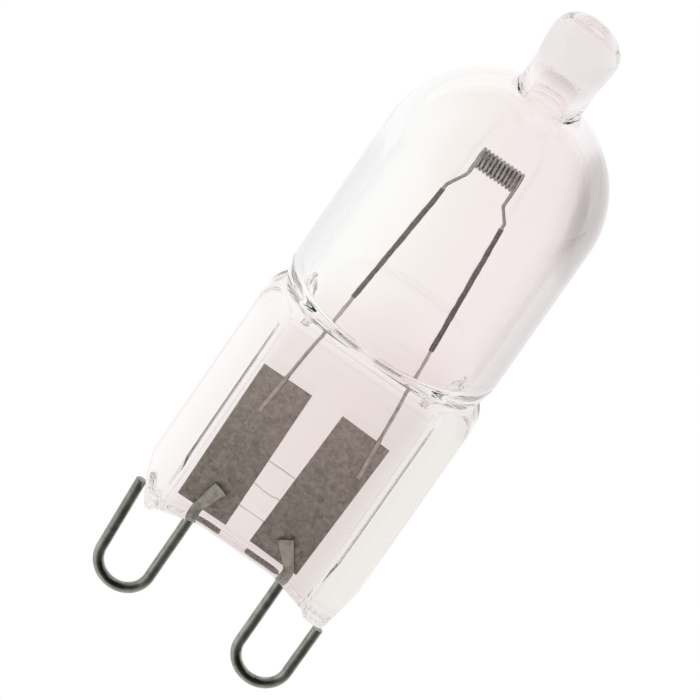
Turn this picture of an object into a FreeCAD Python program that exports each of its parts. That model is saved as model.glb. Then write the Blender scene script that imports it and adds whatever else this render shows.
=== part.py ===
import FreeCAD, Part
import math
import os

# Halogen capsule bulb, in millimetres.
# Z runs up the lamp's axis from the bottoms of the two wire loops, X runs across
# the flat pinch, and -Y is the front. A side is -1 on the left and +1 on the right.

LEFT = -1
RIGHT = 1
side_names = {LEFT: "left", RIGHT: "right"}

# Wire loops that plug into the holder
loop_spacing = 9.0
wire_diameter = 0.62
loop_width = 3.03
loop_reach = 5.7
free_leg_gap = 0.7
free_leg_splay = {LEFT: 3.2, RIGHT: 0.5}

# Foils sealed in the pinch
foil_width = 3.1
foil_height = 9.1
foil_thickness = 0.03
foil_cover = 0.7
foil_shift = {LEFT: 0.18, RIGHT: 0.95}
foil_lean = {LEFT: -0.8, RIGHT: 1.8}

# Pressed ends of the loops, welded to the foils
blade_thickness = 0.36
blade_width = 0.95
blade_run = 0.25
blade_reach = 1.75
blade_lean = {LEFT: 17.0, RIGHT: 38.0}

# Wires between the foils and the filament, each gripped by a sleeve
lead_diameter = 0.2
lead_overlap = 2.4
lead_tail_thickness = 0.12
lead_tail_width = 0.26
lead_tail_rise = 0.3
sleeve_diameter = 0.37
sleeve_clearance = 1.95
sleeve_grip = 2.2
sleeve_spread = 0.63

# Filament
coil_wire_diameter = 0.2
coil_diameter = 1.24
coil_length = 2.5
coil_turns = 10
coil_rise = 0.9
tail_rise = 1.35
tail_kink = 1.0
tail_exit = 0.3
tail_bend_radius = 0.3

# Glass bulb
bulb_diameter = 12.8
bulb_wall = 1.0
barrel_length = 9.25
dome_inset = 0.6
dome_drop = 0.8

# Ceiling of the hollow: a sloping shelf, a steeper step and a cone up into the tip
shelf_rise = 0.85
shelf_fillet = 1.2
step_radius = 2.9
step_rise = 1.9
step_fillet = 0.8
cone_radius = 2.5
cone_rise = 0.65
mouth_rise = 1.5
mouth_fillet = 0.8

# Exhaust tip, melted shut
tip_diameter = 4.1
tip_waist = 3.8
tip_waist_rise = 1.35
tip_bulge_rise = 3.15
tip_length = 4.7
tip_slant = 5.0
tip_end_radius = 1.3
tip_bore = 2.2
tip_solid_length = 2.65
tip_root_fillet = 0.7

# Glass pinch
pinch_width = 13.36
pinch_thickness = 4.0
pinch_edge_radius = 0.9
rib_overrun = 1.05
shoulder_radius = 1.9
corner_width = {LEFT: 1.35, RIGHT: 0.5}
corner_height = {LEFT: 2.6, RIGHT: 2.5}

# Neck between the round bulb and the flat pinch
neck_height = 2.3
neck_width = 11.5
neck_thickness = 3.8
neck_squareness = 4.0

# Web between the pinch's ribs
web_thickness = 2.6
web_rise = 0.7
web_slope_width = 2.6
web_overrun = 2.4
rib_width = 1.75
rib_fillet = 0.5
jaw_radius = 2.2

# Retaining ridge on both faces of the web
ridge_width = 1.7
ridge_length = 3.2
ridge_height = 0.3
ridge_offset = 2.0

# Foot of the hollow, where the glass closes on the leads
seal_length = 4.05
slit_rise = 2.35
slit_width = 8.4
slit_thickness = 0.5
slit_squareness = 3.0
slit_end_diameter = 0.72

# Largest difference between two sizes that count as the same
tolerance = 0.001

# Heights, worked out from the sizes above
wire_radius = wire_diameter / 2
bend_radius = loop_width / 2
bend_centre_z = wire_radius + bend_radius
pinch_bottom = loop_reach
web_bottom = pinch_bottom + web_rise
ridge_bottom = web_bottom + ridge_offset
foil_bottom = web_bottom + foil_cover
foil_top = foil_bottom + foil_height
web_top = foil_top + web_overrun
slit_bottom = foil_top + seal_length
shoulder_top = slit_bottom + rib_overrun
barrel_bottom = slit_bottom + slit_rise
barrel_top = barrel_bottom + barrel_length
neck_bottom = barrel_bottom - neck_height
coil_z = barrel_top + coil_rise
sleeve_top = coil_z - tail_rise - tail_kink - tail_exit
sleeve_bottom = slit_bottom + sleeve_clearance

# Places across the lamp, worked out from the sizes above
inner_leg_x = (loop_spacing - loop_width) / 2
outer_leg_x = (loop_spacing + loop_width) / 2
sleeve_top_x = coil_length / 2 + sleeve_spread
foil_front_y = blade_thickness / 2
lead_y = foil_front_y - lead_tail_thickness / 2
bulb_radius = bulb_diameter / 2
hollow_radius = bulb_radius - bulb_wall
web_edge_x = pinch_width / 2 - rib_width
coil_radius = (coil_diameter - coil_wire_diameter) / 2
coil_pitch = coil_length / (coil_turns + 0.5)

Vec = FreeCAD.Vector
X_AXIS = Vec(1, 0, 0)
Y_AXIS = Vec(0, 1, 0)
Z_AXIS = Vec(0, 0, 1)
ORIGIN = Vec(0, 0, 0)


def lead_point(side, z):
    """Point on a lead's centre line, which runs from above its loop's leg in to the coil."""
    lean = (sleeve_top_x - inner_leg_x) / (sleeve_top - foil_top)
    return Vec(side * (inner_leg_x + lean * (z - foil_top)), lead_y, z)


def polygon_face(points):
    """Flat face bounded by straight edges."""
    return Part.Face(Part.makePolygon(points + [points[0]]))


def rod(start, end, diameter):
    """Straight round rod between two points."""
    along = end - start
    return Part.makeCylinder(diameter / 2, along.Length, start, along)


def swept_wire(edges, diameter):
    """Round wire along a chain of tangent edges."""
    path = Part.Wire(edges)
    first = edges[0]
    start = first.valueAt(first.FirstParameter)
    heading = first.tangentAt(first.FirstParameter)
    section = Part.Wire(Part.makeCircle(diameter / 2, start, heading))
    return path.makePipeShell([section], True, False)


def rounded_route(points, radii):
    """Straight runs through points, joined by a tangent arc at each corner."""
    edges = []
    start = points[0]
    for before, corner, after, radius in zip(points, points[1:], points[2:], radii):
        into = (before - corner).normalize()
        out = (after - corner).normalize()
        half = into.getAngle(out) / 2
        setback = radius / math.tan(half)
        arc_start = corner + into * setback
        arc_end = corner + out * setback
        inward = (into + out).normalize()
        middle = corner + inward * (radius / math.sin(half) - radius)
        edges.append(Part.makeLine(start, arc_start))
        edges.append(Part.Arc(arc_start, middle, arc_end).toShape())
        start = arc_end
    edges.append(Part.makeLine(start, points[-1]))
    return edges


def foil(side):
    """Thin molybdenum strip, leaning slightly in the pinch."""
    x = side * (inner_leg_x - foil_shift[side])
    corner = Vec(x - foil_width / 2, foil_front_y, foil_bottom)
    strip = Part.makeBox(foil_width, foil_thickness, foil_height, corner)
    centre = Vec(x, foil_front_y, foil_bottom + foil_height / 2)
    strip.rotate(centre, Y_AXIS, foil_lean[side])
    return strip


def glass_underside(side):
    """Height of the pinch's cut-back corner above a loop's free leg."""
    slope = corner_height[side] / corner_width[side]
    corner_start = pinch_width / 2 - corner_width[side]
    return pinch_bottom + slope * max(0, outer_leg_x - corner_start)


def loop_route(side):
    """Centre line of a loop: free leg, bend, and the leg that enters the glass."""
    centre = Vec(side * loop_spacing / 2, 0, bend_centre_z)
    splay = math.radians(free_leg_splay[side])
    outward = Vec(side * math.cos(splay), 0, -math.sin(splay))
    upward = Vec(side * math.sin(splay), 0, math.cos(splay))
    free_start = centre + outward * bend_radius
    leg_rise = glass_underside(side) - free_leg_gap - free_start.z
    free_end = free_start + upward * (leg_rise / math.cos(splay))
    lowest = centre - Z_AXIS * bend_radius
    inner_start = centre - X_AXIS * (side * bend_radius)
    inner_end = Vec(inner_start.x, 0, foil_bottom - blade_run)
    free_leg = Part.makeLine(free_end, free_start)
    bend = Part.Arc(free_start, lowest, inner_start).toShape()
    inner_leg = Part.makeLine(inner_start, inner_end)
    return [free_leg, bend, inner_leg]


def weld_blade(side):
    """Flat spread end of a loop's inner leg, lying on the foil and bent towards the axis."""
    lean = math.radians(blade_lean[side])
    along = Vec(-side * math.sin(lean), 0, math.cos(lean))
    across = Vec(side * math.cos(lean), 0, math.sin(lean))
    knee = Vec(side * inner_leg_x, foil_front_y - blade_thickness, foil_bottom)
    foot = knee - Z_AXIS * blade_run
    tip = knee + along * blade_reach
    outer_knee = knee + across * wire_radius
    inner_knee = knee - across * wire_radius
    outline = [
        foot + X_AXIS * (side * wire_radius),
        outer_knee,
        tip + across * (blade_width / 2),
        tip - across * (blade_width / 2),
        inner_knee,
        foot - X_AXIS * (side * wire_radius),
    ]
    return polygon_face(outline).extrude(Y_AXIS * blade_thickness)


def pin_loop(side):
    """Outer lead: one wire bent to a loop, its inner leg pressed flat at the weld."""
    wire = swept_wire(loop_route(side), wire_diameter)
    return wire.fuse(weld_blade(side)).removeSplitter()


def inner_lead(side):
    """Wire from the foil up into the sleeve, pressed flat where it lies on the foil."""
    tail_end = lead_point(side, foil_top - lead_overlap)
    round_start = lead_point(side, foil_top + lead_tail_rise)
    top = lead_point(side, sleeve_bottom + sleeve_grip)
    half_width = X_AXIS * (lead_tail_width / 2)
    to_front = Y_AXIS * (-lead_tail_thickness / 2)
    outline = [
        tail_end - half_width + to_front,
        tail_end + half_width + to_front,
        round_start + half_width + to_front,
        round_start - half_width + to_front,
    ]
    tail = polygon_face(outline).extrude(Y_AXIS * lead_tail_thickness)
    overlap_start = lead_point(side, foil_top + lead_tail_rise / 2)
    wire = rod(overlap_start, top, lead_diameter)
    return wire.fuse(tail).removeSplitter()


def lead_sleeve(side):
    """Tube that grips the inner lead from below and the filament's tail from above."""
    bottom = lead_point(side, sleeve_bottom)
    top = lead_point(side, sleeve_top)
    return rod(bottom, top, sleeve_diameter).cut(rod(bottom, top, lead_diameter))


def coil_helix():
    """Centre line of the filament's turns, wound along X from left to right."""
    helix = Part.makeHelix(coil_pitch, coil_length, coil_radius)
    helix.rotate(ORIGIN, Y_AXIS, 90)
    start = helix.Edges[0].valueAt(helix.Edges[0].FirstParameter)
    turn = math.degrees(math.atan2(start.y, -start.z)) - 90
    helix.rotate(ORIGIN, X_AXIS, -turn)
    helix.translate(Vec(-coil_length / 2, lead_y, coil_z))
    return helix


def filament():
    """Coil of tungsten wire with a kinked tail at each end."""
    helix = coil_helix().Edges[0]
    body = swept_wire([helix], coil_wire_diameter)
    for side, parameter in ((LEFT, helix.FirstParameter), (RIGHT, helix.LastParameter)):
        end = helix.valueAt(parameter)
        downward = helix.tangentAt(parameter) * side
        elbow = end + downward * tail_rise
        neck = lead_point(side, sleeve_top + tail_exit)
        root = lead_point(side, sleeve_top - sleeve_grip)
        route = rounded_route([root, neck, elbow, end], [tail_bend_radius, tail_bend_radius])
        body = body.fuse(swept_wire(route, coil_wire_diameter))
    return body.removeSplitter()


def superellipse(half_x, half_y, power, z):
    """Closed outline of four equal quarters, between an ellipse (power 2) and a rectangle."""
    steps = 8
    quarters = []
    for quarter in range(4):
        points = []
        for step in range(steps + 1):
            angle = math.pi / 2 * (quarter + step / steps)
            cosine = round(math.cos(angle), 12)
            sine = round(math.sin(angle), 12)
            x = math.copysign(abs(cosine) ** (2 / power), cosine) * half_x
            y = math.copysign(abs(sine) ** (2 / power), sine) * half_y
            points.append(Vec(x, y, z))
        curve = Part.BSplineCurve()
        curve.interpolate(points)
        quarters.append(curve.toShape())
    return Part.Wire(quarters)


def flattened_tube(radius, end_width, end_thickness, end_power, end_z):
    """Foot of a round tube of the bulb, pressed flatter towards its lower end."""
    steps = 4
    sections = []
    for step in range(steps + 1):
        share = step / steps
        ease = share * share * (3 - 2 * share)
        half_x = radius + (end_width / 2 - radius) * ease
        half_y = radius + (end_thickness / 2 - radius) * ease
        power = 2 + (end_power - 2) * ease
        z = barrel_bottom + (end_z - barrel_bottom) * share
        sections.append(superellipse(half_x, half_y, power, z))
    return Part.makeLoft(sections, True)


def crown_arc():
    """Radius of the arc at the top of the dome, and the height of its centre."""
    return bulb_radius - dome_inset + math.hypot(dome_inset, dome_drop), barrel_top - dome_drop


def domed_barrel():
    """Barrel of the bulb: its end is a shoulder arc that runs into a flatter crown arc."""
    shoulder = bulb_radius - dome_inset
    crown, crown_z = crown_arc()
    join_angle = math.atan2(dome_drop, dome_inset)
    shoulder_angle = join_angle / 2
    crown_angle = (join_angle + math.pi / 2) / 2
    foot = Vec(0, 0, barrel_bottom)
    foot_edge = Vec(bulb_radius, 0, barrel_bottom)
    edge = Vec(bulb_radius, 0, barrel_top)
    shoulder_x = dome_inset + shoulder * math.cos(shoulder_angle)
    shoulder_mid = Vec(shoulder_x, 0, barrel_top + shoulder * math.sin(shoulder_angle))
    join = Vec(crown * math.cos(join_angle), 0, crown_z + crown * math.sin(join_angle))
    crown_mid = Vec(crown * math.cos(crown_angle), 0, crown_z + crown * math.sin(crown_angle))
    top = Vec(0, 0, crown_z + crown)
    outline = Part.Wire([
        Part.makeLine(foot, foot_edge),
        Part.makeLine(foot_edge, edge),
        Part.Arc(edge, shoulder_mid, join).toShape(),
        Part.Arc(join, crown_mid, top).toShape(),
        Part.makeLine(top, foot),
    ])
    return Part.Face(outline).revolve(ORIGIN, Z_AXIS, 360)


def dome_top():
    """Height that the glass dome would reach without its exhaust tip."""
    crown, crown_z = crown_arc()
    return crown_z + crown


def hollow_bulb():
    """Hollow of the barrel, with its stepped ceiling and the closed bore up in the tip."""
    bore_radius = tip_bore / 2
    bore_end = dome_top() + tip_length - tip_solid_length - bore_radius
    shelf = Vec(hollow_radius, 0, barrel_top + shelf_rise)
    step = Vec(step_radius, 0, shelf.z + step_rise)
    cone = Vec(cone_radius, 0, step.z + cone_rise)
    mouth = Vec(bore_radius, 0, cone.z + mouth_rise)
    foot = Vec(0, 0, barrel_bottom)
    foot_edge = Vec(hollow_radius, 0, barrel_bottom)
    bore_edge = Vec(bore_radius, 0, bore_end)
    diagonal = bore_radius * math.sqrt(0.5)
    end = Vec(0, 0, bore_end + bore_radius)
    ceiling = [foot_edge, shelf, step, cone, mouth, bore_edge]
    fillets = [shelf_fillet, step_fillet, step_fillet, mouth_fillet]
    outline = [Part.makeLine(foot, foot_edge)]
    outline += rounded_route(ceiling, fillets)
    outline.append(Part.Arc(bore_edge, Vec(diagonal, 0, bore_end + diagonal), end).toShape())
    outline.append(Part.makeLine(end, foot))
    return Part.Face(Part.Wire(outline)).revolve(ORIGIN, Z_AXIS, 360)


def round_tip_root(solid):
    """Round off the level circular edge where the exhaust tip stands on the dome."""
    waist_z = dome_top() + tip_waist_rise
    ring = []
    for edge in solid.Edges:
        box = edge.BoundBox
        level = box.ZLength < tolerance and barrel_top < box.ZMin < waist_z - tolerance
        if level and abs(box.YLength - tip_waist) < tolerance:
            ring.append(edge)
    return solid.makeFillet(tip_root_fillet, ring)


def exhaust_tip():
    """Stub of the filling tube: a slight waist, a bulge and a rounded, slanted end."""
    base_z = dome_top()
    waist = Vec(tip_waist / 2, 0, base_z + tip_waist_rise)
    bulge = Vec(tip_diameter / 2, 0, base_z + tip_bulge_rise)
    end = Vec(0, 0, base_z + tip_length)
    blank_top = end + Z_AXIS * tip_diameter
    foot = Vec(0, 0, barrel_top)
    side = Part.BSplineCurve()
    side.interpolate(Points=[waist, bulge], InitialTangent=Z_AXIS, FinalTangent=Z_AXIS)
    outline = Part.Wire([
        Part.makeLine(foot, foot + X_AXIS * waist.x),
        Part.makeLine(foot + X_AXIS * waist.x, waist),
        side.toShape(),
        Part.makeLine(bulge, blank_top + X_AXIS * bulge.x),
        Part.makeLine(blank_top + X_AXIS * bulge.x, blank_top),
        Part.makeLine(blank_top, foot),
    ])
    stub = Part.Face(outline).revolve(ORIGIN, Z_AXIS, 360)
    reach = 2 * tip_diameter
    waste = Part.makeBox(2 * reach, 2 * reach, reach, end - Vec(reach, reach, 0))
    waste.rotate(end, Y_AXIS, tip_slant)
    stub = stub.cut(waste)
    rim = []
    for edge in stub.Edges:
        box = edge.BoundBox
        if box.ZMin > bulge.z and box.YLength > tip_waist:
            rim.append(edge)
    return stub.makeFillet(tip_end_radius, rim)


def pinch_block():
    """Flat end of the glass, still without the web's recesses."""
    half = pinch_width / 2
    arc_x = half - shoulder_radius
    arc_z = shoulder_top - shoulder_radius
    diagonal = shoulder_radius * math.sqrt(0.5)
    edges = []
    for side in (LEFT, RIGHT):
        points = [
            Vec(0, 0, web_bottom),
            Vec(side * (web_edge_x - web_slope_width), 0, web_bottom),
            Vec(side * web_edge_x, 0, pinch_bottom),
            Vec(side * (half - corner_width[side]), 0, pinch_bottom),
            Vec(side * half, 0, pinch_bottom + corner_height[side]),
            Vec(side * half, 0, arc_z),
        ]
        shoulder_mid = Vec(side * (arc_x + diagonal), 0, arc_z + diagonal)
        shoulder_end = Vec(side * arc_x, 0, shoulder_top)
        edges += Part.makePolygon(points).Edges
        edges.append(Part.Arc(points[-1], shoulder_mid, shoulder_end).toShape())
        edges.append(Part.makeLine(shoulder_end, Vec(0, 0, shoulder_top)))
    outline = Part.Wire(Part.sortEdges(edges)[0])
    block = Part.Face(outline).extrude(Y_AXIS * pinch_thickness)
    block.translate(Y_AXIS * (-pinch_thickness / 2))
    long_edges = []
    for edge in block.Edges:
        box = edge.BoundBox
        at_side = max(abs(box.XMin), abs(box.XMax)) > half - tolerance
        if at_side and box.YLength < tolerance and box.ZMax > arc_z - tolerance:
            long_edges.append(edge)
    return block.makeFillet(pinch_edge_radius, long_edges)


def jaw():
    """Tool that presses the front of the web: its top edge and long edges are rounded."""
    depth = bulb_diameter
    height = web_top + jaw_radius
    face_y = -web_thickness / 2
    block = Part.makeBox(2 * web_edge_x, depth, height, Vec(-web_edge_x, face_y - depth, 0))
    top_edge = []
    for edge in block.Edges:
        box = edge.BoundBox
        if box.YMin > face_y - tolerance and box.ZMin > height - tolerance:
            top_edge.append(edge)
    block = block.makeFillet(jaw_radius, top_edge)
    long_edges = []
    for edge in block.Edges:
        box = edge.BoundBox
        if box.YMin > face_y - tolerance and box.ZLength > web_top - tolerance:
            long_edges.append(edge)
    return block.makeFillet(rib_fillet, long_edges)


def ridge():
    """Low ridge across both faces of the web, which a holder's spring snaps over."""
    half = web_thickness / 2
    crest_y = half + ridge_height
    crest_z = ridge_bottom + ridge_length / 2
    ridge_top = ridge_bottom + ridge_length
    x = -ridge_width / 2
    outline = [
        Vec(x, -half, ridge_bottom),
        Vec(x, -crest_y, crest_z),
        Vec(x, -half, ridge_top),
        Vec(x, half, ridge_top),
        Vec(x, crest_y, crest_z),
        Vec(x, half, ridge_bottom),
    ]
    return polygon_face(outline).extrude(X_AXIS * ridge_width)


def outer_form():
    """Outside of the glass: blown bulb, exhaust tip and pressed pinch in one."""
    neck = flattened_tube(bulb_radius, neck_width, neck_thickness, neck_squareness, neck_bottom)
    form = domed_barrel().fuse([neck], tolerance)
    form = round_tip_root(form.fuse(exhaust_tip()))
    form = form.fuse(pinch_block())
    front_jaw = jaw()
    back_jaw = front_jaw.rotated(ORIGIN, Z_AXIS, 180)
    return form.cut([front_jaw, back_jaw]).fuse(ridge())


def hollow_form():
    """Space inside the bulb: it runs up into the tip and closes to a slit on the leads."""
    foot = flattened_tube(hollow_radius, slit_width, slit_thickness, slit_squareness, slit_bottom)
    form = hollow_bulb().fuse([foot], tolerance)
    for side in (LEFT, RIGHT):
        x = side * (slit_width - slit_end_diameter) / 2
        form = form.fuse(Part.makeSphere(slit_end_diameter / 2, Vec(x, 0, slit_bottom)))
    return form


def glass_envelope(sealed_pieces):
    """Quartz glass in one piece, closed on the foils and wires that are sealed in it."""
    return outer_form().cut(hollow_form()).cut(sealed_pieces)


def main():
    os.makedirs("parts", exist_ok=True)
    pieces = {}
    for side, name in side_names.items():
        pieces["foil_" + name] = foil(side)
        pieces["pin_loop_" + name] = pin_loop(side)
        pieces["inner_lead_" + name] = inner_lead(side)
    sealed_pieces = list(pieces.values())
    for side, name in side_names.items():
        pieces["lead_sleeve_" + name] = lead_sleeve(side)
    pieces["filament_coil"] = filament()
    pieces["glass_envelope"] = glass_envelope(sealed_pieces)
    for name, piece in pieces.items():
        print(name, len(piece.Solids), "solid", round(piece.Volume, 3), "mm3")
        piece.Solids[0].exportStep("parts/" + name + ".step")


main()
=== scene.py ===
"""Looks of the halogen capsule bulb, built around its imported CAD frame.

Lengths are written in millimetres and turned to metres where a mesh is finished. Z runs up
the lamp's axis from the bottoms of the two wire loops, X across the flat pinch, -Y is the front.
"""

import logging
import math
from dataclasses import dataclass
from enum import Enum
from typing import Callable

import bmesh
import bpy
import numpy as np
from mathutils import Matrix, Vector, noise


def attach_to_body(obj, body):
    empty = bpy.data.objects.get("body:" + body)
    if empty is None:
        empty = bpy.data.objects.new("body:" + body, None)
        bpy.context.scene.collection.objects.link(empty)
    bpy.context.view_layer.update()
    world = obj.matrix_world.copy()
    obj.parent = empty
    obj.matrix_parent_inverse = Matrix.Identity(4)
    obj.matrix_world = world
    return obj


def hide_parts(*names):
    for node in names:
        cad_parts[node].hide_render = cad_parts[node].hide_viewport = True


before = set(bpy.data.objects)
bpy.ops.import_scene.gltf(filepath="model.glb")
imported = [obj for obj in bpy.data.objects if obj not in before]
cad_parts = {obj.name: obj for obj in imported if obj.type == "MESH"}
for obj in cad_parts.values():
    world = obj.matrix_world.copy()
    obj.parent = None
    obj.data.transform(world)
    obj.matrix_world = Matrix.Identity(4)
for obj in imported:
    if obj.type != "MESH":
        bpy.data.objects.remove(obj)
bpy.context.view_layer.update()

MM = 0.001  # metres in a millimetre
WELD = 1e-7  # metres between points that are merged
SHARP_ANGLE = 40.0  # degrees past which an edge is shown sharp
ROUND = 2.0  # power of an outline that is a true ellipse
END_SIZE = 0.88  # size of a wire's last ring, as a share of its section
END_RISE = 0.12  # how far a wire's end bulges, as a share of its half depth
BODY = "root"  # the lamp's one body
log = logging.getLogger("capsule")


class Side(Enum):
    """The two halves of the lamp, by the sign of X."""

    LEFT = -1
    RIGHT = 1


def linear(code: str) -> tuple[float, float, float, float]:
    """Turn an sRGB hex colour into Blender's linear RGBA.

    Args:
        code: Colour such as "#C0FFEE".

    Returns:
        Linear red, green, blue and an alpha of 1.
    """
    shades = [int(code[i : i + 2], 16) / 255 for i in (1, 3, 5)]
    low, knee = 12.92, 0.04045
    mixed = [s / low if s <= knee else ((s + 0.055) / 1.055) ** 2.4 for s in shades]
    return (*mixed, 1.0)


def ease(share: np.ndarray) -> np.ndarray:
    """Smooth step from 0 to 1, held outside that span."""
    held = np.clip(share, 0.0, 1.0)
    return held * held * (3 - 2 * held)


def soft_max(a: np.ndarray, b: np.ndarray, blend: float) -> np.ndarray:
    """Larger of two distances, with the crease between them rounded.

    Args:
        a: First distances.
        b: Second distances.
        blend: Radius of the rounding.

    Returns:
        The rounded maximum.
    """
    overlap = np.clip(blend - np.abs(a - b), 0.0, None)
    return np.maximum(a, b) + overlap * overlap / (4 * blend)


def soft_min(a: np.ndarray, b: np.ndarray, blend: float) -> np.ndarray:
    """Smaller of two distances, with the crease between them rounded."""
    return -soft_max(-a, -b, blend)


def superellipse(
    angle: np.ndarray, half_x: np.ndarray, half_y: np.ndarray, power: np.ndarray
) -> tuple:
    """Points of an outline between an ellipse (power 2) and a rectangle.

    Args:
        angle: Angle round the outline, from +X.
        half_x: Half width.
        half_y: Half thickness.
        power: Squareness.

    Returns:
        X and Y of the points.
    """
    cosine, sine = np.cos(angle), np.sin(angle)
    x = np.sign(cosine) * np.abs(cosine) ** (ROUND / power) * half_x
    y = np.sign(sine) * np.abs(sine) ** (ROUND / power) * half_y
    return x, y


def arc(centre: tuple, radius: float, start: float, end: float, count: int) -> list:
    """Points of an arc in the (radius, height) plane, without its end point.

    Args:
        centre: Centre of the arc.
        radius: Its radius.
        start: First angle in radians, from the outward direction.
        end: Last angle.
        count: Number of points.

    Returns:
        The points as (radius, height) pairs.
    """
    angles = [start + (end - start) * i / count for i in range(count)]
    return [(centre[0] + radius * math.cos(t), centre[1] + radius * math.sin(t)) for t in angles]


def line(start: tuple, end: tuple, count: int) -> list:
    """Points of a straight run in the (radius, height) plane, without its end point."""
    (x, z), (run, rise) = start, (end[0] - start[0], end[1] - start[1])
    return [(x + run * i / count, z + rise * i / count) for i in range(count)]


def rounded(points: list, radii: list, steps: int) -> list:
    """Straight runs in the (radius, height) plane with their corners rounded.

    Args:
        points: Start, corners and end.
        radii: Radius of the arc at each corner.
        steps: Number of divisions of each arc.

    Returns:
        The start, the points of every arc and the end.
    """
    path = [points[0]]
    for before, corner, after, radius in zip(points, points[1:], points[2:], radii):
        corner = Vector(corner)
        into = (Vector(before) - corner).normalized()
        out = (Vector(after) - corner).normalized()
        half = into.angle(out) / 2
        centre = corner + (into + out).normalized() * (radius / math.sin(half))
        first = corner + into * (radius / math.tan(half)) - centre
        last = corner + out * (radius / math.tan(half)) - centre
        for i in range(steps + 1):
            spoke = first.slerp(last, i / steps).normalized() * radius
            path.append(tuple(centre + spoke))
    return path + [points[-1]]


def add_skin(bm: bmesh.types.BMesh, around: int, levels: int, place: Callable) -> list:
    """Roll a grid up into a closed skin whose first and last rings shut on themselves.

    Args:
        bm: Mesh that receives the skin.
        around: Number of faces round the skin.
        levels: Number of rings.
        place: Function of ring number and angle that returns x, y and z in millimetres.

    Returns:
        The skin's vertices before their doubles are merged.
    """
    grid = bmesh.ops.create_grid(bm, x_segments=around, y_segments=levels - 1, size=0.5)
    corners = grid["verts"]
    flat = np.array([v.co for v in corners])
    ring = np.rint((flat[:, 1] + 0.5) * (levels - 1)).astype(int)
    turn = np.rint((flat[:, 0] + 0.5) * around) % around
    x, y, z = place(ring, turn * 2 * math.pi / around)
    for vertex, point in zip(corners, np.stack([x, y, z], axis=1) * MM):
        vertex.co = point
    return corners


def dense(points: np.ndarray, step: float) -> np.ndarray:
    """Cut a chain of points into short runs, keeping each point.

    Args:
        points: Points of the chain.
        step: Greatest length of a run.

    Returns:
        The longer chain.
    """
    chain = [points[0]]
    for before, after in zip(points, points[1:]):
        count = max(1, math.ceil(float(np.linalg.norm(after - before)) / step))
        chain += [before + (after - before) * i / count for i in range(1, count + 1)]
    return np.array(chain)


def add_wire(
    bm: bmesh.types.BMesh,
    route: np.ndarray,
    half_width: np.ndarray,
    half_depth: np.ndarray,
    power: np.ndarray,
    around: int,
) -> None:
    """Add a wire with a section that may change along it, closed at both ends.

    Args:
        bm: Mesh that receives the wire.
        route: Points of its centre line in millimetres.
        half_width: Half its width in the plane of its bends, at each point.
        half_depth: Half its depth, square to that plane.
        power: Squareness of its section, 2 where it is round.
        around: Number of faces round the section.
    """
    heading = np.gradient(route, axis=0)
    heading /= np.linalg.norm(heading, axis=1)[:, None]
    across = [Vector(heading[0]).cross(Vector((0, 1, 0))).normalized()]
    for before, after in zip(heading, heading[1:]):
        turn = Vector(before).rotation_difference(Vector(after))
        across.append(turn @ across[-1])
    across = np.array([tuple(a) for a in across])
    through = np.cross(heading, across)
    last = len(route) - 1
    order = np.concatenate([[0, 0], np.arange(len(route)), [last, last]])
    size = np.ones(len(order))
    size[[0, -1]] = 0.0
    size[[1, -2]] = END_SIZE
    shift = np.zeros(len(order))
    shift[[0, 1]] = -END_RISE * half_depth[0]
    shift[[-1, -2]] = END_RISE * half_depth[-1]

    def place(ring: np.ndarray, angle: np.ndarray) -> tuple:
        """Place the wire's skin.

        Args:
            ring: Number of the ring, two of which close each end.
            angle: Angle round the section.

        Returns:
            X, Y and Z.
        """
        spot = order[ring]
        wide, deep = superellipse(angle, half_width[spot], half_depth[spot], power[spot])
        point = route[spot] + heading[spot] * shift[ring][:, None]
        point = point + across[spot] * (wide * size[ring])[:, None]
        point = point + through[spot] * (deep * size[ring])[:, None]
        return point[:, 0], point[:, 1], point[:, 2]

    add_skin(bm, around, len(order), place)
    bmesh.ops.remove_doubles(bm, verts=bm.verts, dist=WELD)
    bmesh.ops.recalc_face_normals(bm, faces=bm.faces)


def new_piece(name: str, bm: bmesh.types.BMesh) -> bpy.types.Object:
    """Turn a finished bmesh into a smooth object of the scene and free the bmesh.

    Args:
        name: Name of the object.
        bm: Its finished mesh.

    Returns:
        The object, at the origin, unturned and unscaled.
    """
    mesh = bpy.data.meshes.new(name)
    bm.to_mesh(mesh)
    bm.free()
    mesh.shade_smooth()
    mesh.set_sharp_from_angle(angle=math.radians(SHARP_ANGLE))
    piece = bpy.data.objects.new(name, mesh)
    bpy.context.scene.collection.objects.link(piece)
    log.info("%s has %d faces", name, len(mesh.polygons))
    return piece


def add_node(
    tree: bpy.types.NodeTree,
    kind: str,
    settings: dict | None = None,
    links: dict | None = None,
) -> bpy.types.Node:
    """Add one shader node.

    Args:
        tree: Tree that receives it.
        kind: Type of the node.
        settings: Its properties and socket values by name, or by number where names repeat,
            and a colour ramp's stops as "stops".
        links: Sockets that feed its inputs, by the input's name or number.

    Returns:
        The node.
    """
    node = tree.nodes.new(kind)
    for name, value in (settings or {}).items():
        if name == "stops":
            elements = node.color_ramp.elements
            for place in range(2, len(value)):
                elements.new(place / len(value))
            for element, (position, code) in zip(elements, value):
                element.position = position
                element.color = linear(code)
        elif isinstance(name, str) and name in node.bl_rna.properties:
            setattr(node, name, value)
        else:
            node.inputs[name].default_value = value
    for name, source in (links or {}).items():
        tree.links.new(source, node.inputs[name])
    return node


def calculate(
    tree: bpy.types.NodeTree, operation: str, *terms: bpy.types.NodeSocket | float
) -> bpy.types.NodeSocket:
    """Add a node that works out a number.

    Args:
        tree: Tree that receives it.
        operation: What it does with its terms.
        terms: Numbers, and sockets that feed one.

    Returns:
        Its result.
    """
    links = {i: term for i, term in enumerate(terms) if isinstance(term, bpy.types.NodeSocket)}
    fixed = {i: term for i, term in enumerate(terms) if i not in links}
    return add_node(tree, "ShaderNodeMath", {"operation": operation, **fixed}, links).outputs[0]


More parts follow.
